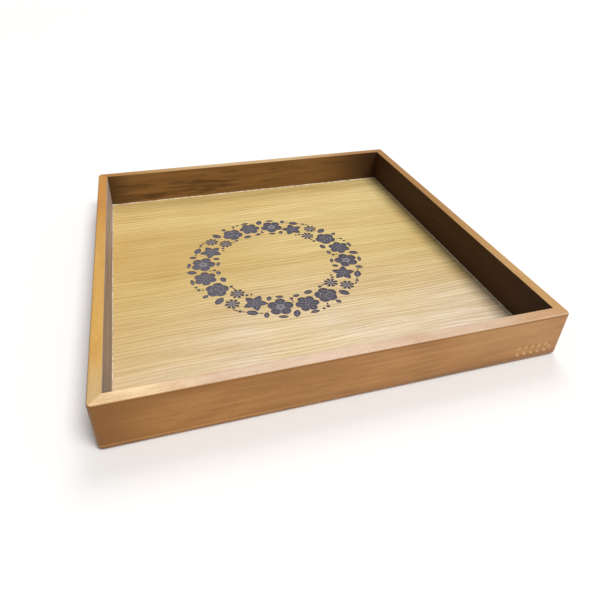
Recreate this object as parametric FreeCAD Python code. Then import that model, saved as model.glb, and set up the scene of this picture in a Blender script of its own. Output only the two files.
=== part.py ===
import FreeCAD, Part
import math
import os

# Square serving tray of stained wood. Four rails are mitred at the corners, each joint has a hidden
# loose tongue, and a three-ply floor panel is captive in a groove round the inside of the rails.
# A wreath of flowers is engraved in the floor and a small sprig in the front rail.
# Millimetres, Z up, X along the front rail, Y towards the back. The origin is on the table, in the
# middle of the tray.

# The frame of rails
SIDE = 400.0                # outer length and width
HEIGHT = 48.0
WALL = 11.0                 # thickness of a rail
CORNER_RADIUS = 4.4         # upright outer corners
FOOT_RADIUS = 4.0           # along the bottom outer edge
RIM_OUTER_RADIUS = 2.0      # along the top outer edge
RIM_INNER_RADIUS = 0.8      # along the top inner edge

# The floor panel and its groove
LIP = 3.4                   # wood left under the groove
GROOVE_DEPTH = 5.0
PANEL_GAP = 0.3             # room for the panel to move, on each side
BACK_VENEER = 0.8
CORE = 2.0
FACE_VENEER = 1.2
PANEL_SIDE = SIDE - 2 * WALL + 2 * (GROOVE_DEPTH - PANEL_GAP)
FLOOR = LIP + BACK_VENEER + CORE + FACE_VENEER
BEAD = 0.9                  # glue bead between floor and rail

# The loose tongues of the mitres
SPLINE_WIDTH = 8.0          # across the joint, half in each rail
SPLINE_THICKNESS = 2.5
SPLINE_HEIGHT = 30.0
SPLINE_LOW = 12.0           # height of its lower end

# Engraving
FLOOR_ENGRAVING = 0.7       # depth of the wreath
RAIL_ENGRAVING = 0.5        # depth of the sprig
VEIN = 0.6                  # width of a line left standing between petals or in a leaf
VEIN_DEPTH = 0.25           # how far such a line lies below the floor
STEM = 1.4                  # width of an engraved stem
WREATH_CENTRE = (-13.5, 1.0)
WREATH_START = -63.7        # direction of the first rose, degrees
SPRIG_LENGTH = 42.0
SPRIG_PAIRS = 5             # pairs of leaves
SPRIG_LEAF = (6.8, 3.6)     # length and width
SPRIG_FROM_END = 8.0        # from its tip to the tray's right side
SPRIG_HEIGHT = 13.0         # height of its stem above the table

CLEAR = 1.0                 # how far a cutting shape reaches past the wood

SIDES = ("front", "right", "back", "left")
Z_AXIS = FreeCAD.Vector(0, 0, 1)
ORIGIN = FreeCAD.Vector(0, 0, 0)


def point(x, y, z=0.0):
    return FreeCAD.Vector(x, y, z)


def line(start, end):
    return Part.LineSegment(point(*start), point(*end)).toShape()


def arc(start, middle, end):
    return Part.Arc(point(*start), point(*middle), point(*end)).toShape()


def face(*edges):
    return Part.Face(Part.Wire(edges))


def polar(radius, degrees):
    turn = math.radians(degrees)
    return (radius * math.cos(turn), radius * math.sin(turn))


def turned(shape, degrees):
    copy = shape.copy()
    copy.rotate(ORIGIN, Z_AXIS, degrees)
    return copy


def placed(outlines, centre, degrees):
    """Outlines turned about their own origin, then moved to centre."""
    result = []
    for outline in outlines:
        copy = turned(outline, degrees)
        copy.translate(point(*centre))
        result.append(copy)
    return result


def moved(outline, distance):
    """An outline moved along X."""
    copy = outline.copy()
    copy.translate(point(distance, 0))
    return copy


def at(outlines, radius, degrees, turn=0.0):
    """Outlines placed on a ring. With no turn, their X points away from its middle."""
    return placed(outlines, polar(radius, degrees), degrees + turn)


def ring_of(outline, count, start=0.0):
    return [turned(outline, start + 360.0 * i / count) for i in range(count)]


# Rails


def envelope():
    """The tray's outer form as a solid block with its edges rounded."""
    block = Part.makeBox(SIDE, SIDE, HEIGHT, point(-SIDE / 2, -SIDE / 2))
    upright = [e for e in block.Edges if e.BoundBox.ZLength > HEIGHT / 2]
    block = block.makeFillet(CORNER_RADIUS, upright)
    bottom = [e for e in block.Edges if e.BoundBox.ZMax < HEIGHT / 4]
    block = block.makeFillet(FOOT_RADIUS, bottom)
    top = [e for e in block.Edges if e.BoundBox.ZMin > HEIGHT - HEIGHT / 4]
    return block.makeFillet(RIM_OUTER_RADIUS, top)


def rail_bar():
    """The front rail's section, with its groove and inner rim edge, drawn out along X."""
    outer = -SIDE / 2 - CLEAR
    inner = -SIDE / 2 + WALL
    groove = inner - GROOVE_DEPTH
    rim = HEIGHT - RIM_INNER_RADIUS
    diagonal = RIM_INNER_RADIUS * (1 - math.sqrt(0.5))
    corners = [
        (outer, HEIGHT),
        (outer, -CLEAR),
        (inner, -CLEAR),
        (inner, LIP),
        (groove, LIP),
        (groove, FLOOR),
        (inner, FLOOR),
        (inner, rim),
    ]
    low_x = -SIDE / 2
    ends = [(low_x, y, z) for y, z in corners]
    rim_end = (low_x, inner - RIM_INNER_RADIUS, HEIGHT)
    rim_middle = (low_x, inner - diagonal, HEIGHT - diagonal)
    edges = [line(a, b) for a, b in zip(ends, ends[1:])]
    edges.append(arc(ends[-1], rim_middle, rim_end))
    edges.append(line(rim_end, ends[0]))
    return face(*edges).extrude(point(SIDE, 0, 0))


def mitre_wedge():
    """The quarter of the tray that holds the front rail, between the two corner diagonals."""
    reach = SIDE / 2 + CLEAR
    left, right, middle = (-reach, -reach), (reach, -reach), (0.0, 0.0)
    base = face(line(left, right), line(right, middle), line(middle, left))
    return base.extrude(point(0, 0, HEIGHT))


def corner_spline(index):
    """The loose tongue of a corner, across its mitre. Corner 0 is at the front right."""
    tongue = Part.makeBox(
        SPLINE_THICKNESS,
        SPLINE_WIDTH,
        SPLINE_HEIGHT,
        point(-SPLINE_THICKNESS / 2, -SPLINE_WIDTH / 2, SPLINE_LOW),
    )
    middle = math.sqrt(2) * (SIDE - WALL) / 2
    return at([tongue], middle, -45 + 90 * index)[0]


def sprig_outlines():
    """A straight stem with pairs of leaves and a bud, pointing along X from the origin."""
    length, width = SPRIG_LEAF
    pitch = (SPRIG_LENGTH - length) / SPRIG_PAIRS
    outlines = [bar(SPRIG_LENGTH - length, STEM)]
    for i in range(SPRIG_PAIRS):
        for side in (1, -1):
            base = (pitch * (i + 0.6), side * STEM)
            outlines += placed([petal_pointed(length, width)], base, side * 38)
    outlines += placed([petal_pointed(length, width)], (SPRIG_LENGTH - length + VEIN, 0.0), 0)
    return outlines


def sprig_pockets():
    """The sprig as cutting solids in the front rail's outer face."""
    tip = SIDE / 2 - SPRIG_FROM_END
    pockets = []
    for outline in sprig_outlines():
        upright = outline.copy()
        upright.rotate(ORIGIN, point(1, 0, 0), 90)
        upright.translate(point(tip - SPRIG_LENGTH, -SIDE / 2 - CLEAR, SPRIG_HEIGHT))
        pockets.append(upright.extrude(point(0, CLEAR + RAIL_ENGRAVING, 0)))
    return pockets


def rails():
    """The four rails by side. Each one holds half of the kerf at each end."""
    front = rail_bar().common(mitre_wedge()).common(envelope())
    front = front.cut([corner_spline(0), corner_spline(3)])
    result = {side: turned(front, 90 * i) for i, side in enumerate(SIDES)}
    result["front"] = result["front"].cut(sprig_pockets())
    return result


# Floor


def ply(bottom, thickness):
    corner = point(-PANEL_SIDE / 2, -PANEL_SIDE / 2, bottom)
    return Part.makeBox(PANEL_SIDE, PANEL_SIDE, thickness, corner)


def face_veneer():
    """The top ply of the floor with the wreath engraved in it."""
    sheet = ply(FLOOR - FACE_VENEER, FACE_VENEER)
    sheet = sheet.cut(floor_pockets(all_round(quarter_veins()), VEIN_DEPTH))
    return sheet.cut(floor_pockets(all_round(quarter_outlines()), FLOOR_ENGRAVING))


def floor_pockets(outlines, depth):
    """Outlines of the wreath as cutting solids in the floor."""
    pockets = []
    for outline in placed(outlines, WREATH_CENTRE, WREATH_START):
        outline.translate(point(0, 0, FLOOR - depth))
        pockets.append(outline.extrude(point(0, 0, depth + CLEAR)))
    return pockets


def seam_bead():
    """A hollow-faced bead of glue round the edge of the floor."""
    inner = -SIDE / 2 + WALL
    hollow = BEAD * (1 - math.sqrt(0.5))
    low_x = -SIDE / 2
    root = (low_x, inner, FLOOR)
    foot = (low_x, inner + BEAD, FLOOR)
    head = (low_x, inner, FLOOR + BEAD)
    middle = (low_x, inner + hollow, FLOOR + hollow)
    strip = face(line(root, foot), arc(foot, middle, head), line(head, root))
    side = strip.extrude(point(SIDE, 0, 0)).common(mitre_wedge())
    ring = side.fuse([turned(side, 90 * i) for i in (1, 2, 3)])
    return ring.removeSplitter()


# Flower shapes. Each is drawn about the origin and is a list of separate outlines.


def bar(length, width):
    """A straight stem with round ends."""
    half = width / 2
    return face(
        line((half, -half), (length - half, -half)),
        arc((length - half, -half), (length, 0), (length - half, half)),
        line((length - half, half), (half, half)),
        arc((half, half), (0, 0), (half, -half)),
    )


def disc(radius):
    return face(Part.Circle(ORIGIN, Z_AXIS, radius).toShape())


def petal_round(start, length, width):
    """A petal along X with a broad round end."""
    half = width / 2
    shoulder = start + 0.66 * length
    flank = (start + 0.34 * length, 0.66 * half)
    tip = start + length
    return face(
        arc((start, 0), (flank[0], -flank[1]), (shoulder, -half)),
        arc((shoulder, -half), (tip, 0), (shoulder, half)),
        arc((shoulder, half), flank, (start, 0)),
    )


def flank(count, radius):
    """The point at radius on one side of a petal that takes its share of a circle."""
    half = 180.0 / count
    gap_x, gap_y = polar(VEIN / 2, half - 90)
    x, y = polar(radius, half)
    return (x + gap_x, y + gap_y)


def mirrored(place):
    return (place[0], -place[1])


def fitted_petal(count, inner, shoulder, crown):
    """One of count petals round a circle, with a line of wood left standing between them."""
    low, high = flank(count, inner), flank(count, shoulder)
    return face(
        line(mirrored(low), mirrored(high)),
        arc(mirrored(high), (crown, 0), high),
        line(high, low),
        line(low, mirrored(low)),
    )


def fitted_point(count, inner, shoulder, tip):
    """A petal like fitted_petal, but with a pointed end."""
    low, high = flank(count, inner), flank(count, shoulder)
    bulge = (0.56 * high[0] + 0.44 * tip, 0.74 * high[1])
    return face(
        line(mirrored(low), mirrored(high)),
        arc(mirrored(high), mirrored(bulge), (tip, 0)),
        arc((tip, 0), bulge, high),
        line(high, low),
        line(low, mirrored(low)),
    )


def petal_pointed(length, width, start=0.0):
    """A petal along X, pointed at both ends."""
    middle = start + length / 2
    tip = start + length
    return face(
        arc((start, 0), (middle, -width / 2), (tip, 0)),
        arc((tip, 0), (middle, width / 2), (start, 0)),
    )


def veined(petal, start, length):
    """A leaf or petal with a line of wood left standing along its middle."""
    return petal.cut(moved(bar(length, VEIN), start)).Faces[0]


def leaf(length, width):
    return [veined(petal_pointed(length, width), 0.14 * length, 0.62 * length)]


def leaf_vein(length):
    return [moved(bar(0.62 * length, VEIN), 0.14 * length)]


def curved_petal(inner, outer, crown, spread, twist):
    """A rose petal across X: inner and outer are its radii, and crown is the top of its edge."""
    low = [polar(inner, -spread + twist), polar(inner, twist), polar(inner, spread + twist)]
    high = [polar(outer, spread), polar(crown, 0), polar(outer, -spread)]
    return face(arc(*low), line(low[2], high[0]), arc(*high), line(high[2], low[0]))


def rose():
    outer = ring_of(curved_petal(6.7, 10.0, 12.2, 34.0, 9.0), 5)
    middle = ring_of(curved_petal(3.2, 5.6, 6.3, 56.5, 14.0), 3, 20.0)
    heart = ring_of(curved_petal(0.8, 2.5, 2.8, 76.0, 16.0), 2)
    return outer + middle + heart


def open_blossom():
    petal = fitted_petal(6, 2.4, 9.4, 12.4)
    return ring_of(veined(petal, 4.4, 4.8), 6) + [disc(1.7)]


def stamen_blossom():
    petals = ring_of(veined(fitted_petal(5, 4.9, 9.8, 13.4), 6.4, 3.2), 5, 36.0)
    stamens = ring_of(moved(bar(1.9, 0.6), 1.6), 8)
    return petals + stamens + [disc(1.1)]


def star_blossom():
    petal = fitted_point(5, 2.3, 7.6, 13.1)
    return ring_of(veined(petal, 3.8, 3.6), 5) + [disc(1.5)]


def daisy():
    return ring_of(petal_round(1.9, 5.9, 3.7), 8) + [disc(1.2)]


def stem(radius, start, end):
    """A stem along a ring, between two directions."""
    low, high = radius - STEM / 2, radius + STEM / 2
    middle = (start + end) / 2
    inside = [polar(low, d) for d in (start, middle, end)]
    outside = [polar(high, d) for d in (end, middle, start)]
    return face(arc(*inside), line(inside[2], outside[0]), arc(*outside), line(outside[2], inside[0]))


def blossoms():
    """A quarter's flowers: outlines, radius of the veined part, distance, direction and turn."""
    return (
        (rose(), 9.8, 79.8, 0.0, 15.0),
        (open_blossom(), 9.4, 81.5, -17.6, 20.0),
        (stamen_blossom(), 9.8, 80.5, -37.2, 0.0),
        (star_blossom(), 7.6, 77.0, -56.2, 30.0),
        (daisy(), 3.4, 87.2, -70.4, 0.0),
        (daisy(), 3.4, 70.6, -74.4, 10.0),
    )


def leaves():
    """A quarter's leaves: length, width, and the distance, direction and turn of the root."""
    return (
        (12.8, 7.8, 84.4, 10.2, 8.0),
        (6.6, 5.0, 92.4, 0.8, 8.0),
        (9.6, 6.4, 65.6, -5.4, -97.0),
        (11.2, 7.0, 87.8, -26.4, -22.0),
        (12.6, 7.6, 93.0, -58.8, 96.0),
        (10.5, 4.4, 96.5, -13.6, -97.0),
        (10.5, 4.4, 96.4, -33.0, -97.0),
        (9.0, 4.2, 64.4, -33.2, -98.0),
        (7.4, 5.0, 65.8, -25.2, 97.0),
        (7.6, 5.0, 71.0, -46.4, 180.0),
        (8.6, 5.4, 89.4, -46.2, 4.0),
    )


def berries():
    """A quarter's berries, each a disc of its own size."""
    outlines = []
    outlines += at([disc(1.9)], 68.6, -27.2)
    outlines += at([disc(1.9)], 65.6, -85.8)
    outlines += at([disc(1.9)], 95.2, -7.2)
    outlines += at([disc(1.6)], 95.8, -10.6)
    outlines += at([disc(1.9)], 94.2, -62.4)
    outlines += at([disc(1.7)], 68.0, -66.2)
    outlines += at([disc(1.4)], 65.2, -63.2)
    return outlines


def stems():
    """A quarter's stems: some follow the ring, and some are straight and placed by their root."""
    outlines = []
    outlines.append(stem(94.4, -67.2, -63.9))
    outlines.append(stem(93.4, -60.9, -59.3))
    outlines.append(stem(92.0, -50.5, -48.4))
    outlines.append(stem(66.0, -83.7, -80.2))
    outlines += at([bar(3.6, STEM)], 71.0, -27.2, 4.0)
    outlines += at([bar(3.4, STEM)], 90.0, -5.4, -32.0)
    return outlines


def quarter_outlines():
    """One quarter of the wreath, about the wreath's middle, with its rose on X."""
    outlines = berries() + stems()
    for outline, _, distance, direction, turn in blossoms():
        outlines += at(outline, distance, direction, turn)
    for length, width, distance, direction, turn in leaves():
        outlines += at(leaf(length, width), distance, direction, turn)
    return outlines


def quarter_veins():
    """Where the lines left standing in a quarter's flowers and leaves are cut down."""
    outlines = []
    for _, reach, distance, direction, _ in blossoms():
        outlines += at([disc(reach)], distance, direction)
    for length, _, distance, direction, turn in leaves():
        outlines += at(leaf_vein(length), distance, direction, turn)
    return outlines


def all_round(quarter):
    """A quarter's outlines repeated round the wreath."""
    return [turned(outline, 90 * i) for i in range(4) for outline in quarter]


def tray():
    """Every piece of the tray by name."""
    pieces = {side + "_rail": rail for side, rail in rails().items()}
    corners = ("front_right", "back_right", "back_left", "front_left")
    for i, corner in enumerate(corners):
        pieces[corner + "_spline"] = corner_spline(i)
    pieces["base_back_veneer"] = ply(LIP, BACK_VENEER)
    pieces["base_core"] = ply(LIP + BACK_VENEER, CORE)
    pieces["base_face_veneer"] = face_veneer()
    pieces["seam_bead"] = seam_bead()
    return pieces


def main():
    os.makedirs("parts", exist_ok=True)
    for name, shape in tray().items():
        solid = shape.Solids[0]
        solid.exportStep("parts/" + name + ".step")
        print(name, solid.isValid(), len(shape.Solids), round(solid.Volume, 1))


main()
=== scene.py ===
import bmesh
import bpy
import math
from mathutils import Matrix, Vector, noise
from types import SimpleNamespace


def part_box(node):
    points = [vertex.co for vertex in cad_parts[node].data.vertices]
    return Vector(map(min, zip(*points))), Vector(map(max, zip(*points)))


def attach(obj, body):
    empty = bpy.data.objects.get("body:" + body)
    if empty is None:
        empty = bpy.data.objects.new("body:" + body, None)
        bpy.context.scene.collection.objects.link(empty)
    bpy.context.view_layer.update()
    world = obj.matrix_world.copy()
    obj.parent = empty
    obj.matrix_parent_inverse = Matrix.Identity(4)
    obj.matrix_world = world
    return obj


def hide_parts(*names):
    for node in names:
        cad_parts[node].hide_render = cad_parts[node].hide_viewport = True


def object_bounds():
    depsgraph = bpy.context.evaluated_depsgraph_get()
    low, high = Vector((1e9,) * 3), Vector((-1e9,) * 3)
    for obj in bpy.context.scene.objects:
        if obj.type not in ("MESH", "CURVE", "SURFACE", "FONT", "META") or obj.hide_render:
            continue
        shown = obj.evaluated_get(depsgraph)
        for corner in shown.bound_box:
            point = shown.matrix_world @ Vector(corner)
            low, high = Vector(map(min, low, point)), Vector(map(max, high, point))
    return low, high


# A square serving tray of stained wood with an oak veneer floor, in metres.

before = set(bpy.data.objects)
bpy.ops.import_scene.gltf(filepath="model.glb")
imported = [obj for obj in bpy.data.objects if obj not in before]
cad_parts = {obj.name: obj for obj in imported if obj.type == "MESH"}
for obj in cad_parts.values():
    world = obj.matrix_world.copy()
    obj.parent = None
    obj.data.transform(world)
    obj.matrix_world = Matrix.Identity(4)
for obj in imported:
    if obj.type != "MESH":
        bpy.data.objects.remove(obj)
cad_low, cad_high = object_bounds()

MM = 0.001
RAILS_ALONG_X = ("front_rail", "back_rail")
RAILS_ALONG_Y = ("left_rail", "right_rail")
SPLINES = [name for name in sorted(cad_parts) if name.endswith("_spline")]

# Places read from the frame
OUTER = cad_high.x                          # half of the tray's width
TOP = cad_high.z                            # height of the rim
INNER = -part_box("front_rail")[1].y          # from the middle to a rail's inner face
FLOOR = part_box("base_face_veneer")[1].z     # top of the floor veneer
BEAD_LOW, BEAD_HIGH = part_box("seam_bead")
BEAD = BEAD_HIGH.z - BEAD_LOW.z             # height and width of the glue bead

# Places on the rails
FOOT_SHADE_TOP = 11.0 * MM            # where the painted shade at the foot ends
FOOT_HIGHLIGHT_HEIGHT = 5.2 * MM            # height of the painted highlight along the foot
SPRIG_LOW = 7.0 * MM            # the sprig lies between these heights
SPRIG_HIGH = 20.0 * MM
SPRIG_LEFT = OUTER - 52.0 * MM  # and between these places along the front rail
SPRIG_RIGHT = OUTER - 6.0 * MM

FIBRE_BENDS = (160.0 * MM, 70.0 * MM)   # size of a bend of the fibres, along and across

# The floor veneer
RING_PITCH = 4.6 * MM           # between growth rings
RING_DRIFT = 14.0               # how far the rings' phase drifts, in radians
POCKET_DEPTH = 0.7 * MM         # of the engraved wreath
VEIN_DEPTH = 0.25 * MM          # of the lines left standing in it

# Camera: metres, degrees, millimetres of lens and shares of the frame
CAMERA_PLACE = (-0.1352, -0.4645, 0.3256)
CAMERA_TURN = (56.46, -1.10, -16.04)
CAMERA_LENS = 30.75
CAMERA_SHIFT = (0.0146, -0.0617)

# The room
GROUND_RADIUS = 12.0
SKY_LIGHT = 0.3                 # strength of the sky as a light
SKY_SEEN = 1.0                  # and as the camera sees it

# Colours, linear
HONEY = (0.46, 0.205, 0.054)
HONEY_DARK = (0.23, 0.095, 0.019)
HONEY_LIGHT = (0.62, 0.33, 0.115)
RIM_GOLD = (0.66, 0.39, 0.10)
RIM_ORANGE = (0.58, 0.27, 0.055)
RIM_BROWN = (0.37, 0.18, 0.040)
RIM_TAN = (0.56, 0.34, 0.13)
# Front rim tones: the rim's lighter stain with a painted sheen
RIM_ROSE_SHEEN = (0.59, 0.37, 0.21)
RIM_PALE_SHEEN = (0.68, 0.51, 0.37)
RIM_CREAM_SHEEN = (0.95, 0.74, 0.45)
RIM_STRAW = (0.62, 0.43, 0.20)
UMBER = (0.30, 0.150, 0.044)
UMBER_DARK = (0.085, 0.041, 0.013)
# Left rail's inner face: inner stain with a painted greyish reflection
SHEEN_BROWN = (0.44, 0.335, 0.285)
SHEEN_PALE = (0.60, 0.51, 0.48)
SHEEN_GREY = (0.35, 0.305, 0.265)
# Inner stain in painted shade, on the right rail and at the right ends inside
SHADED_UMBER = (0.058, 0.023, 0.009)
OAK = (0.76, 0.60, 0.25)
OAK_PAINTED_LIGHT = (0.96, 0.78, 0.38)
OAK_GOLD = (0.58, 0.36, 0.085)
OAK_PALE_SHEEN = (0.85, 0.74, 0.62)
OAK_LINE = (0.36, 0.222, 0.060)
RAW_TAN = (0.60, 0.37, 0.16)
RAW_SHADE = (0.38, 0.21, 0.085)
CHAR = (0.115, 0.104, 0.136)
CHAR_DARK = (0.045, 0.042, 0.062)
CHAR_PALE = (0.26, 0.24, 0.26)
SCORCH = (0.045, 0.034, 0.036)
BACKING = (0.42, 0.25, 0.11)
BACKING_DARK = (0.24, 0.125, 0.048)
GLUE = (0.86, 0.79, 0.66)
GLUE_DULL = (0.52, 0.40, 0.26)

# Tones along each rail's rim and inner face, by shares of half the width: the stain, with a painted
# sheen on the front rim, painted shade inside on the right rail and at the right ends of the front
# and back rails, and a painted reflection inside the left rail
RIM_TONES = {
    "front_rail": ((-0.85, RIM_CREAM_SHEEN), (-0.5, RIM_PALE_SHEEN), (0.6, RIM_PALE_SHEEN), (0.85, RIM_ROSE_SHEEN)),
    "back_rail": ((-1.0, RIM_BROWN), (-0.2, RIM_STRAW), (0.3, RIM_STRAW), (0.8, RIM_BROWN)),
    "left_rail": ((-0.95, RIM_STRAW), (-0.7, RIM_GOLD), (0.0, RIM_GOLD), (0.6, RIM_ORANGE)),
    "right_rail": ((-0.95, RIM_TAN), (0.35, RIM_BROWN)),
}
INNER_TONES = {
    "front_rail": ((-1.0, UMBER), (0.2, UMBER), (0.9, SHADED_UMBER)),
    "back_rail": ((-1.0, UMBER_DARK), (-0.75, UMBER), (0.4, UMBER), (0.95, SHADED_UMBER)),
    "left_rail": ((-1.0, SHEEN_GREY), (-0.6, SHEEN_BROWN), (-0.2, SHEEN_BROWN), (0.8, SHEEN_PALE)),
    "right_rail": ((0.0, SHADED_UMBER),),
}


# Materials


class Tree:
    """A material with short ways to add nodes. Values may be numbers or other nodes' outputs."""

    def __init__(self, name):
        self.material = bpy.data.materials.new(name)
        self.material.use_nodes = True
        self.tree = self.material.node_tree
        self.shader = self.tree.nodes["Principled BSDF"]

    def node(self, kind, inputs=None, **settings):
        made = self.tree.nodes.new(kind)
        for key, value in settings.items():
            setattr(made, key, value)
        for key, value in (inputs or {}).items():
            self.put(made.inputs[key], value)
        return made

    def put(self, socket, value):
        if isinstance(value, bpy.types.NodeSocket):
            self.tree.links.new(value, socket)
        elif isinstance(value, tuple) and len(value) == 3 and socket.type == "RGBA":
            socket.default_value = (*value, 1.0)
        else:
            socket.default_value = value

    def set(self, name, value):
        self.put(self.shader.inputs[name], value)

    def math(self, operation, *values, clamp=False):
        made = self.node("ShaderNodeMath", operation=operation, use_clamp=clamp)
        for socket, value in zip(made.inputs, values):
            self.put(socket, value)
        return made.outputs[0]

    def times(self, *values):
        """The product of two or more values."""
        product = values[0]
        for value in values[1:]:
            product = self.math("MULTIPLY", product, value)
        return product

    def vector(self, x, y, z):
        return self.node("ShaderNodeCombineXYZ", {"X": x, "Y": y, "Z": z}).outputs[0]

    def noise(self, vector, scale=1.0, detail=2.0, roughness=0.5):
        inputs = {"Vector": vector, "Scale": scale, "Detail": detail, "Roughness": roughness}
        return self.node("ShaderNodeTexNoise", inputs).outputs["Fac"]

    def steps(self, value, low, high, start=0.0, end=1.0):
        """A smooth rise from start, at low, to end, at high."""
        inputs = {0: value, 1: low, 2: high, 3: start, 4: end}
        made = self.node("ShaderNodeMapRange", inputs, interpolation_type="SMOOTHSTEP")
        return made.outputs[0]

    def mix(self, factor, a, b):
        """The colour a at factor 0, and b at factor 1."""
        made = self.node("ShaderNodeMix", data_type="RGBA")
        for socket, value in ((0, factor), (6, a), (7, b)):
            self.put(made.inputs[socket], value)
        return made.outputs[2]

    def stops(self, value, stops):
        """A colour that passes from stop to stop, each at a share of half the tray's width."""
        reached, tone = stops[0]
        for place, colour in stops[1:]:
            tone = self.mix(self.steps(value, reached * OUTER, place * OUTER), tone, colour)
            reached = place
        return tone

    def place(self):
        """The X, Y and Z of a point in the tray's own frame."""
        place = self.node("ShaderNodeTexCoord").outputs["Object"]
        return self.node("ShaderNodeSeparateXYZ", {0: place}).outputs

    def bump(self, height, distance, strength=1.0):
        inputs = {"Height": height, "Distance": distance, "Strength": strength}
        return self.node("ShaderNodeBump", inputs).outputs[0]


def streaks(tree, fibre, length, width, seed, detail=2.0):
    """Noise drawn out along the fibres, in streaks of about length by width."""
    along, across, deep = fibre
    place = tree.vector(
        tree.math("DIVIDE", along, length),
        tree.math("ADD", tree.math("DIVIDE", across, width), seed),
        tree.math("DIVIDE", deep, width),
    )
    return tree.noise(place, 1.0, detail, 0.55)


def band(tree, value, middle, half):
    """1 at middle, falling to 0 at half to either side."""
    away = tree.math("ABSOLUTE", tree.math("SUBTRACT", value, middle))
    return tree.steps(away, 0.4 * half, half, 1.0, 0.0)


def swayed(tree, along, across, deep, sway, seed):
    """The place along and across the fibres, which wander sideways by up to about sway."""
    bend_length, bend_width = FIBRE_BENDS
    place = tree.vector(
        tree.math("DIVIDE", along, bend_length),
        tree.math("DIVIDE", across, bend_width),
        seed,
    )
    wander = tree.noise(place)
    bent = tree.math("MULTIPLY_ADD", tree.math("SUBTRACT", wander, 0.5), 2.0 * sway, across)
    return along, bent, deep


def rail_grain(tree, along, z, across, seed):
    """Masks of a rail's grain, from broad to fine."""
    fibre = swayed(tree, along, z, across, 1.5 * MM, seed)
    dashes = streaks(tree, fibre, 4.5 * MM, 0.26 * MM, seed + 11.0, 1.0)
    return SimpleNamespace(
        cloud=streaks(tree, (along, z, across), 50.0 * MM, 18.0 * MM, seed + 15.0, 3.0),
        smears=streaks(tree, (along, z, across), 52.0 * MM, 5.0 * MM, seed + 21.0, 5.0),
        bands=streaks(tree, fibre, 90.0 * MM, 5.0 * MM, seed),
        lines=streaks(tree, fibre, 45.0 * MM, 1.1 * MM, seed + 3.0),
        hairs=streaks(tree, fibre, 14.0 * MM, 0.34 * MM, seed + 7.0, 3.0),
        pores=tree.steps(dashes, 0.60, 0.70),
    )


def outside_stain_and_painted_light(tree, x, z, grain):
    """Honey stain, with painted shade at the left end, just under the rim and along the foot, and a
    painted highlight along the foot.
    """
    tone = tree.mix(tree.steps(grain.cloud, 0.35, 0.70, 0.0, 0.42), HONEY, HONEY_DARK)
    tone = tree.mix(tree.steps(grain.bands, 0.42, 0.72, 0.0, 0.35), tone, HONEY_LIGHT)
    tone = tree.mix(tree.steps(grain.lines, 0.50, 0.72, 0.0, 0.30), tone, HONEY_DARK)
    tone = tree.mix(tree.steps(grain.hairs, 0.45, 0.75, 0.0, 0.26), tone, HONEY_DARK)
    tone = tree.mix(tree.times(grain.pores, 0.42), tone, HONEY_DARK)
    # Painted shade: darker toward the left end
    tone = tree.mix(tree.steps(x, -OUTER, -0.68 * OUTER, 0.9, 0.0), tone, HONEY_DARK)

    # Lighter high up near the right end
    lighter_high_right = tree.steps(z, 15.0 * MM, 25.0 * MM, 0.0, 0.35)
    lighter_high_right = tree.times(lighter_high_right, band(tree, x, 0.68 * OUTER, 0.3 * OUTER))
    tone = tree.mix(lighter_high_right, tone, HONEY_LIGHT)

    to_right = tree.steps(x, -0.5 * OUTER, 0.5 * OUTER)
    # Painted shade along the foot, where its rounding turns under, stronger to the right
    painted_foot_shade = tree.math("MULTIPLY_ADD", to_right, 0.42, 0.25)
    painted_foot_shade = tree.times(painted_foot_shade, tree.steps(z, 4.0 * MM, FOOT_SHADE_TOP, 1.0, 0.0))
    tone = tree.mix(painted_foot_shade, tone, HONEY_DARK)
    # Painted highlight along the foot, where its rounding begins, stronger to the left
    painted_foot_highlight = tree.math("MULTIPLY_ADD", to_right, -0.45, 0.5)
    painted_foot_highlight = tree.times(
        painted_foot_highlight,
        tree.steps(grain.cloud, 0.30, 0.55, 0.25, 1.0),
        band(tree, z, FOOT_HIGHLIGHT_HEIGHT, 0.9 * MM),
    )
    tone = tree.mix(painted_foot_highlight, tone, HONEY_LIGHT)

    shade = tree.times(band(tree, z, TOP - 1.4 * MM, 1.3 * MM), 0.55)
    tone = tree.mix(shade, tone, HONEY_DARK)
    # Painted shade high on the face, toward the left end
    painted_shade_under_rim = tree.steps(x, -0.3 * OUTER, 0.2 * OUTER, 0.32, 0.0)
    painted_shade_under_rim = tree.times(painted_shade_under_rim, tree.steps(z, 26.0 * MM, 42.0 * MM))
    return tree.mix(painted_shade_under_rim, tone, HONEY_DARK)


def rim_tone_and_sheen(tree, name, along, grain):
    """The rim's own tones along its rail, under the same grain; on the front rail they hold a
    painted sheen.
    """
    rim_tone = tree.stops(along, RIM_TONES[name])
    rim_tone = tree.mix(tree.steps(grain.cloud, 0.42, 0.72, 0.0, 0.36), rim_tone, HONEY)
    rim_tone = tree.mix(tree.steps(grain.lines, 0.45, 0.75, 0.0, 0.3), rim_tone, HONEY)
    return tree.mix(tree.times(grain.pores, 0.4), rim_tone, HONEY_DARK)


def painted_edge_highlight(tree, x, y, z):
    """1 along the front rail's top outer edge, on its right half: a painted highlight on the rounded
    edge.
    """
    highlight_strength = tree.steps(x, 0.1 * OUTER, 0.6 * OUTER, 0.0, 0.6)
    outer_edge = tree.steps(y, -OUTER + 2.0 * MM, -OUTER + 2.6 * MM, 1.0, 0.0)
    return tree.times(highlight_strength, band(tree, z, TOP - 0.4 * MM, 0.4 * MM), outer_edge)


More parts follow.
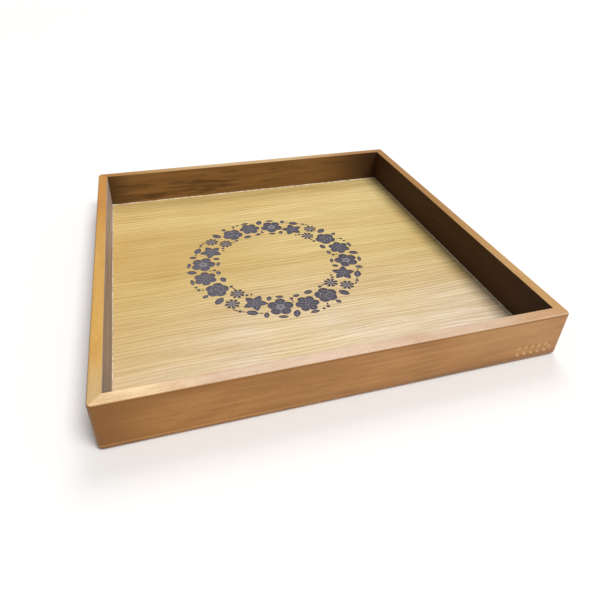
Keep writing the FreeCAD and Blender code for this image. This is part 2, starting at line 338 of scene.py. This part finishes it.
def inner_tone_and_painted_light(tree, name, along, x, z, grain):
    """Darker tones inside the tray, smeared most at the middle of the left half; the tones hold
    painted shade and a painted reflection.
    """
    dark = tree.stops(along, INNER_TONES[name])
    dark = tree.mix(tree.steps(grain.bands, 0.35, 0.65, 0.0, 0.3), dark, UMBER_DARK)
    dark = tree.mix(tree.steps(grain.hairs, 0.4, 0.75, 0.0, 0.3), dark, UMBER_DARK)
    low_left = tree.times(
        band(tree, x, -0.45 * OUTER, 0.5 * OUTER),
        band(tree, z, 22.0 * MM, 14.0 * MM),
    )
    smears = tree.math("MULTIPLY_ADD", low_left, 0.13, grain.smears)
    strength = 0.3 if name == "left_rail" else 0.75
    return tree.mix(tree.steps(smears, 0.55, 0.72, 0.0, strength), dark, UMBER_DARK)


def engraved_in_front(tree, x, y, z):
    """1 in the pockets of the sprig, which lie behind the front face near its right end."""
    return tree.times(
        tree.steps(y, -OUTER + 0.05 * MM, -OUTER + 0.2 * MM),
        tree.math("LESS_THAN", y, -OUTER + 1.0 * MM),
        tree.math("GREATER_THAN", x, SPRIG_LEFT),
        tree.math("LESS_THAN", x, SPRIG_RIGHT),
        tree.math("GREATER_THAN", z, SPRIG_LOW),
        tree.math("LESS_THAN", z, SPRIG_HIGH),
    )


def rail_wood(name, along_x, seed):
    """Honey stain outside, a rim of its own tones, and inner tones of its own on each rail, with
    painted shade, highlights and sheen.
    """
    tree = Tree(name + "_wood")
    x, y, z = tree.place()
    along, across = (x, y) if along_x else (y, x)
    grain = rail_grain(tree, along, z, across, seed)

    # Where a point is on the section
    square = tree.math("MAXIMUM", tree.math("ABSOLUTE", x), tree.math("ABSOLUTE", y))
    ragged = tree.noise(tree.vector(x, y, z), 220.0, 3.0)
    edge = tree.math("MULTIPLY_ADD", tree.math("SUBTRACT", ragged, 0.5), 0.4 * MM, square)
    inside = tree.steps(edge, INNER + 0.15 * MM, INNER + 0.6 * MM, 1.0, 0.0)
    rim = tree.steps(z, TOP - 1.0 * MM, TOP - 0.05 * MM)

    tone = outside_stain_and_painted_light(tree, x, z, grain)
    tone = tree.mix(tree.times(rim, 0.93), tone, rim_tone_and_sheen(tree, name, along, grain))
    # Painted highlight on the front rail's rounded top edge
    if name == "front_rail":
        tone = tree.mix(painted_edge_highlight(tree, x, y, z), tone, RIM_PALE_SHEEN)
    tone = tree.mix(inside, tone, inner_tone_and_painted_light(tree, name, along, x, z, grain))
    if name == "front_rail":
        tone = tree.mix(engraved_in_front(tree, x, y, z), tone, RAW_TAN)
    tree.set("Base Color", tone)

    matt = tree.math("MULTIPLY_ADD", grain.hairs, 0.18, 0.32)
    matt = tree.math("MULTIPLY_ADD", inside, 0.2, matt)
    tree.set("Roughness", tree.math("MULTIPLY_ADD", grain.pores, 0.2, matt))
    height = tree.math("MULTIPLY_ADD", grain.pores, -0.6, grain.hairs)
    tree.set("Normal", tree.bump(height, 0.05 * MM, 0.5))
    tree.set("Specular IOR Level", 0.2)
    glossy = tree.steps(x, -OUTER, 0.2 * OUTER, 0.05, 0.35)
    tree.set("Coat Weight", tree.times(glossy, tree.math("SUBTRACT", 1.0, inside)))
    tree.set("Coat Roughness", 0.25)
    return tree.material


def floor_grain(tree, x, y, z):
    """Masks of the floor veneer's grain, from broad to fine."""
    fibre = swayed(tree, x, y, z, 7.0 * MM, 3.0)
    drift = tree.times(streaks(tree, fibre, 200.0 * MM, 15.0 * MM, 21.0), RING_DRIFT)
    rings = tree.math("MULTIPLY_ADD", fibre[1], math.tau / RING_PITCH, drift)
    dashes = streaks(tree, fibre, 7.0 * MM, 0.3 * MM, 12.0, 1.0)
    return SimpleNamespace(
        bands=streaks(tree, fibre, 300.0 * MM, 16.0 * MM, 1.0),
        rings=tree.math("SINE", rings),
        lines=streaks(tree, fibre, 150.0 * MM, 2.6 * MM, 4.0),
        ribs=streaks(tree, fibre, 110.0 * MM, 1.25 * MM, 17.0),
        hairs=streaks(tree, fibre, 60.0 * MM, 0.75 * MM, 8.0, 3.0),
        pores=tree.steps(dashes, 0.60, 0.70),
    )


def oak_ground(tree, x, y):
    """The veneer's broad tones: more golden to the left, paler to the front by a painted sheen,
    lighter to the back by painted light.
    """
    patch = tree.noise(tree.vector(x, y, 0.0), 9.0, 2.0)
    uneven = tree.steps(patch, 0.3, 0.65, 0.45, 1.0)
    gold = tree.times(tree.steps(x, -INNER, 0.4 * INNER, 0.75, 0.1), uneven)
    tone = tree.mix(gold, OAK, OAK_GOLD)
    # Painted sheen: paler toward the front
    pale = tree.times(
        tree.steps(y, -INNER, 0.1 * INNER, 1.0, 0.0),
        uneven,
        tree.steps(x, -INNER, -0.2 * INNER, 0.6, 1.0),
    )
    tone = tree.mix(pale, tone, OAK_PALE_SHEEN)
    # Painted light: lighter toward the back
    return tree.mix(tree.steps(y, 0.2 * INNER, INNER, 0.0, 0.55), tone, OAK_PAINTED_LIGHT)


def oak_figure(tree, tone, y, grain):
    """The grain drawn over the veneer's tone, calmer at the front."""
    calm = tree.steps(y, -INNER, -0.3 * INNER, 0.45, 1.0)
    broad = tree.times(tree.steps(grain.bands, 0.38, 0.70), calm, 0.32)
    tone = tree.mix(broad, tone, OAK_GOLD)
    depth = tree.times(tree.steps(grain.bands, 0.30, 0.70, 0.3, 1.0), calm)
    strong = tree.times(tree.steps(grain.lines, 0.50, 0.68), depth, 0.42)
    tone = tree.mix(strong, tone, OAK_LINE)
    ringed = tree.times(tree.steps(grain.rings, -0.2, 0.9), calm, 0.30)
    tone = tree.mix(ringed, tone, OAK_LINE)
    tone = tree.mix(tree.steps(grain.ribs, 0.44, 0.62, 0.0, 0.32), tone, OAK_LINE)
    tone = tree.mix(tree.steps(grain.hairs, 0.45, 0.72, 0.0, 0.35), tone, OAK_LINE)
    return tree.mix(tree.times(grain.pores, 0.3), tone, OAK_LINE)


def burnt_wreath(tree, x, y, z):
    """Char on the bottom of the pockets, paler to the left by a painted sheen, pale on the lines
    left standing, scorched between them.
    """
    vein = FLOOR - VEIN_DEPTH
    pocket = FLOOR - POCKET_DEPTH
    below_vein = tree.steps(z, vein - 0.09 * MM, vein - 0.03 * MM, 1.0, 0.0)
    bottom = tree.steps(z, pocket + 0.02 * MM, pocket + 0.08 * MM, 1.0, 0.0)
    ash = tree.noise(tree.vector(x, y, z), 420.0, 4.0, 0.7)
    burnt = tree.mix(tree.steps(ash, 0.35, 0.7), CHAR_DARK, CHAR)
    # Painted sheen: the char is paler toward the left
    burnt = tree.mix(tree.steps(x, -0.6 * INNER, 0.1 * INNER, 0.18, 0.0), burnt, CHAR_PALE)
    burnt = tree.mix(bottom, SCORCH, burnt)
    return tree.mix(below_vein, CHAR_PALE, burnt)


def floor_veneer():
    """Straw-coloured oak veneer under satin lacquer, with the wreath burnt in."""
    tree = Tree("floor_veneer")
    x, y, z = tree.place()
    grain = floor_grain(tree, x, y, z)
    engraved = tree.steps(z, FLOOR - 0.16 * MM, FLOOR - 0.04 * MM, 1.0, 0.0)
    tone = oak_figure(tree, oak_ground(tree, x, y), y, grain)
    tree.set("Base Color", tree.mix(engraved, tone, burnt_wreath(tree, x, y, z)))

    matt = tree.math("MULTIPLY_ADD", grain.hairs, 0.2, 0.36)
    matt = tree.math("MULTIPLY_ADD", grain.pores, 0.2, matt)
    tree.set("Roughness", tree.math("MULTIPLY_ADD", engraved, 0.25, matt, clamp=True))
    height = tree.math("MULTIPLY_ADD", grain.pores, -0.8, grain.hairs)
    height = tree.math("MULTIPLY_ADD", grain.lines, 0.4, height)
    tree.set("Normal", tree.bump(height, 0.05 * MM, 0.5))
    tree.set("Specular IOR Level", 0.4)
    return tree.material


def plain_wood(name, light, dark, seed, width):
    """Unstained wood of the plies and tongues, with fibres along X and lines of about width."""
    tree = Tree(name)
    x, y, z = tree.place()
    fibre = swayed(tree, x, y, z, 5.0 * MM, seed)
    bands = streaks(tree, fibre, 40.0 * width, 4.0 * width, seed)
    lines = streaks(tree, fibre, 40.0 * width, width, seed + 3.0)
    hairs = streaks(tree, fibre, 20.0 * MM, 0.4 * MM, seed + 7.0, 3.0)
    tone = tree.mix(tree.steps(bands, 0.35, 0.7, 0.0, 0.6), light, dark)
    tone = tree.mix(tree.steps(lines, 0.45, 0.7, 0.0, 0.6), tone, dark)
    tone = tree.mix(tree.steps(hairs, 0.45, 0.75, 0.0, 0.5), tone, dark)
    tree.set("Base Color", tone)
    tree.set("Roughness", tree.math("MULTIPLY_ADD", hairs, 0.25, 0.5))
    tree.set("Normal", tree.bump(hairs, 0.06 * MM, 0.7))
    return tree.material


def dried_glue():
    """Cream glue and lacquer in dull and bright patches."""
    tree = Tree("dried_glue")
    x, y, z = tree.place()
    place = tree.vector(x, y, z)
    patches = tree.noise(place, 160.0, 3.0, 0.65)
    specks = tree.noise(place, 900.0, 2.0, 0.6)
    tone = tree.mix(tree.steps(patches, 0.38, 0.62), GLUE_DULL, GLUE)
    tone = tree.mix(tree.steps(specks, 0.5, 0.75, 0.0, 0.35), tone, GLUE_DULL)
    tree.set("Base Color", tone)
    tree.set("Roughness", tree.math("MULTIPLY_ADD", specks, 0.3, 0.25))
    tree.set("Normal", tree.bump(specks, 0.08 * MM, 0.6))
    return tree.material


def wear(node, material):
    """Gives a CAD node its material."""
    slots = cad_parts[node].data.materials
    slots.clear()
    slots.append(material)


def soften(node, width):
    """Eases a CAD node's sharp edges, so that a mitre shows as a fine line."""
    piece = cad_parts[node]
    weld = piece.modifiers.new("join_faces", "WELD")
    weld.merge_threshold = 0.001 * MM
    ease = piece.modifiers.new("eased_edges", "BEVEL")
    ease.width = width
    ease.segments = 2
    ease.limit_method = "ANGLE"
    ease.angle_limit = math.radians(35)
    ease.harden_normals = True


# The bead of glue round the floor


def bead_outline(size):
    """Points of the bead's section, out from the wall and up it, with a hollow face."""
    count = 5
    points = [(0.0, 0.0)]
    for i in range(count):
        turn = math.radians(90 * i / (count - 1))
        points.append((size * (1 - math.sin(turn)), size * (1 - math.cos(turn))))
    return points


def bead_stations():
    """Points 1 mm apart round the foot of the inner faces, each with the way in from the wall."""
    count = round(2 * INNER / MM)
    stations = []
    for quarter in range(4):
        turn = math.radians(90 * quarter)
        along = Vector((math.cos(turn), math.sin(turn), 0))
        inward = Vector((-math.sin(turn), math.cos(turn), 0))
        for i in range(count):
            place = along * (-INNER + 2 * INNER * i / count) - inward * INNER
            corner = along if i == 0 else Vector((0, 0, 0))
            stations.append((place, inward + corner))
    return stations


def make_bead():
    """The bead with its uneven size, from thin smears to small drops."""
    shape = bmesh.new()
    rings = []
    for place, inward in bead_stations():
        slow = noise.noise(place * 60.0)
        fast = noise.noise(place * 520.0)
        size = BEAD * min(1.0, max(0.4, 0.72 + 0.3 * slow + 0.35 * fast))
        ring = []
        for out, up in bead_outline(size):
            ring.append(shape.verts.new(place + inward * out + Vector((0, 0, FLOOR + up))))
        rings.append(ring)
    for ring, following in zip(rings, rings[1:] + rings[:1]):
        for i in range(len(ring)):
            j = (i + 1) % len(ring)
            shape.faces.new((ring[i], ring[j], following[j], following[i]))
    bmesh.ops.recalc_face_normals(shape, faces=shape.faces)
    for face in shape.faces:
        face.smooth = True
    mesh = bpy.data.meshes.new("glue_bead")
    shape.to_mesh(mesh)
    shape.free()
    bead = bpy.data.objects.new("glue_bead", mesh)
    bpy.context.scene.collection.objects.link(bead)
    mesh.materials.append(dried_glue())
    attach(bead, "root")
    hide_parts("seam_bead")


def dress_tray():
    """Every CAD node's material and edges."""
    for seed, node in enumerate(RAILS_ALONG_X + RAILS_ALONG_Y):
        wear(node, rail_wood(node, node in RAILS_ALONG_X, 11.0 * seed))
        soften(node, 0.2 * MM)
    wear("base_face_veneer", floor_veneer())
    core = plain_wood("core_ply", RAW_TAN, RAW_SHADE, seed=5.0, width=4.0 * MM)
    wear("base_core", core)
    backing = plain_wood("back_veneer", BACKING, BACKING_DARK, seed=9.0, width=7.0 * MM)
    wear("base_back_veneer", backing)
    tongue = plain_wood("tongue_wood", RAW_TAN, BACKING, seed=2.0, width=3.0 * MM)
    for node in SPLINES:
        wear(node, tongue)


# The room


def sun(name, toward, strength, spread, colour):
    """A wide sun in the direction toward, with its spread in degrees."""
    data = bpy.data.lights.new(name, "SUN")
    data.energy = strength
    data.angle = math.radians(spread)
    data.color = colour
    lamp = bpy.data.objects.new(name, data)
    lamp.rotation_euler = Vector(toward).to_track_quat("Z", "Y").to_euler()
    bpy.context.scene.collection.objects.link(lamp)


def make_floor():
    """The plain pale ground that the tray stands on."""
    bpy.ops.mesh.primitive_circle_add(vertices=64, radius=GROUND_RADIUS, fill_type="NGON")
    floor = bpy.context.object
    floor.name = "studio_floor"
    tree = Tree("studio_floor")
    tree.set("Base Color", (0.9, 0.9, 0.9))
    tree.set("Roughness", 0.8)
    floor.data.materials.append(tree.material)


def make_room():
    """A sky that is dim as a light and white to look at, a pale floor and two suns."""
    world = bpy.data.worlds.new("studio")
    world.use_nodes = True
    sky = world.node_tree.nodes["Background"]
    sky.inputs["Color"].default_value = (1.0, 1.0, 1.0, 1.0)
    seen = world.node_tree.nodes.new("ShaderNodeLightPath").outputs["Is Camera Ray"]
    strength = world.node_tree.nodes.new("ShaderNodeMapRange")
    strength.inputs["To Min"].default_value = SKY_LIGHT
    strength.inputs["To Max"].default_value = SKY_SEEN
    world.node_tree.links.new(seen, strength.inputs["Value"])
    world.node_tree.links.new(strength.outputs[0], sky.inputs["Strength"])
    bpy.context.scene.world = world
    bpy.context.scene.view_settings.view_transform = "Standard"
    make_floor()
    sun("key", (0.30, -0.45, 1.0), strength=2.3, spread=28.0, colour=(1.0, 0.98, 0.95))
    sun("sheen", (0.24, 0.56, 0.80), strength=0.9, spread=28.0, colour=(1.0, 0.96, 0.97))


def make_camera():
    data = bpy.data.cameras.new("camera")
    data.lens = CAMERA_LENS
    data.sensor_width = 36.0
    data.shift_x, data.shift_y = CAMERA_SHIFT
    data.clip_start = 0.01
    camera = bpy.data.objects.new("camera", data)
    camera.location = CAMERA_PLACE
    camera.rotation_euler = [math.radians(turn) for turn in CAMERA_TURN]
    bpy.context.scene.collection.objects.link(camera)
    bpy.context.scene.camera = camera


make_camera()
make_room()
dress_tray()
make_bead()
